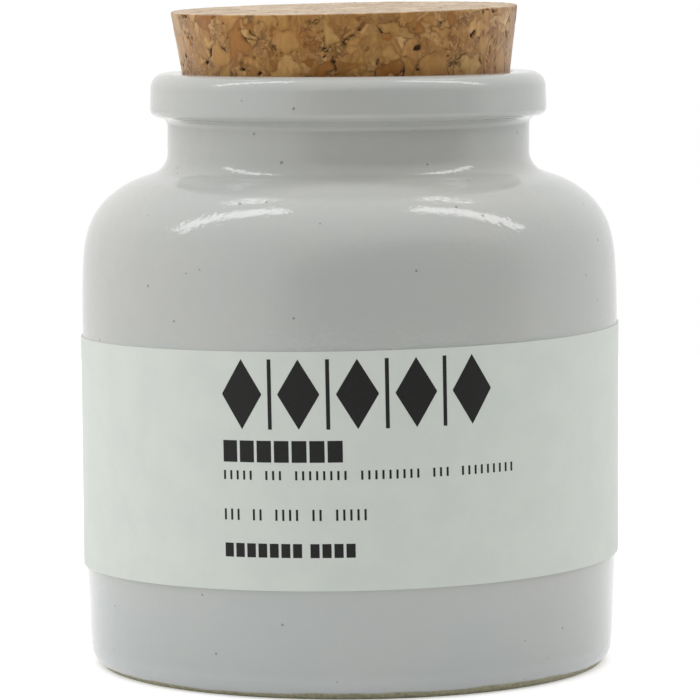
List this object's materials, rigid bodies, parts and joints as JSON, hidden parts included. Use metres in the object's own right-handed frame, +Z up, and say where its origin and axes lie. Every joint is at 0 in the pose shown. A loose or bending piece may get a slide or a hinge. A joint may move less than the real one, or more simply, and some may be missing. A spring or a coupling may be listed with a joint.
{
  "type": "mustard jar",
  "caption": "Squat round-shouldered stoneware mustard jar with a collared neck, a wrap-around paper label and a tapered cork stopper.",
  "frame": {"origin": "centre of the jar's flat foot, on the surface that it stands on", "axes": "+Z up along the jar's axis, -Y towards the front, where the label's print is"},
  "size_m": [0.0806, 0.0805, 0.0986],
  "materials": {
    "glaze": "glossy pale grey glaze over fired clay",
    "paper": "smooth uncoated paper, printed with plain bars",
    "cork": "agglomerated cork, matt"
  },
  "bodies": {
    "root": {"stoneware_jar": "glaze", "paper_label": "paper", "cork_stopper": "cork"}
  },
  "joints": []
}
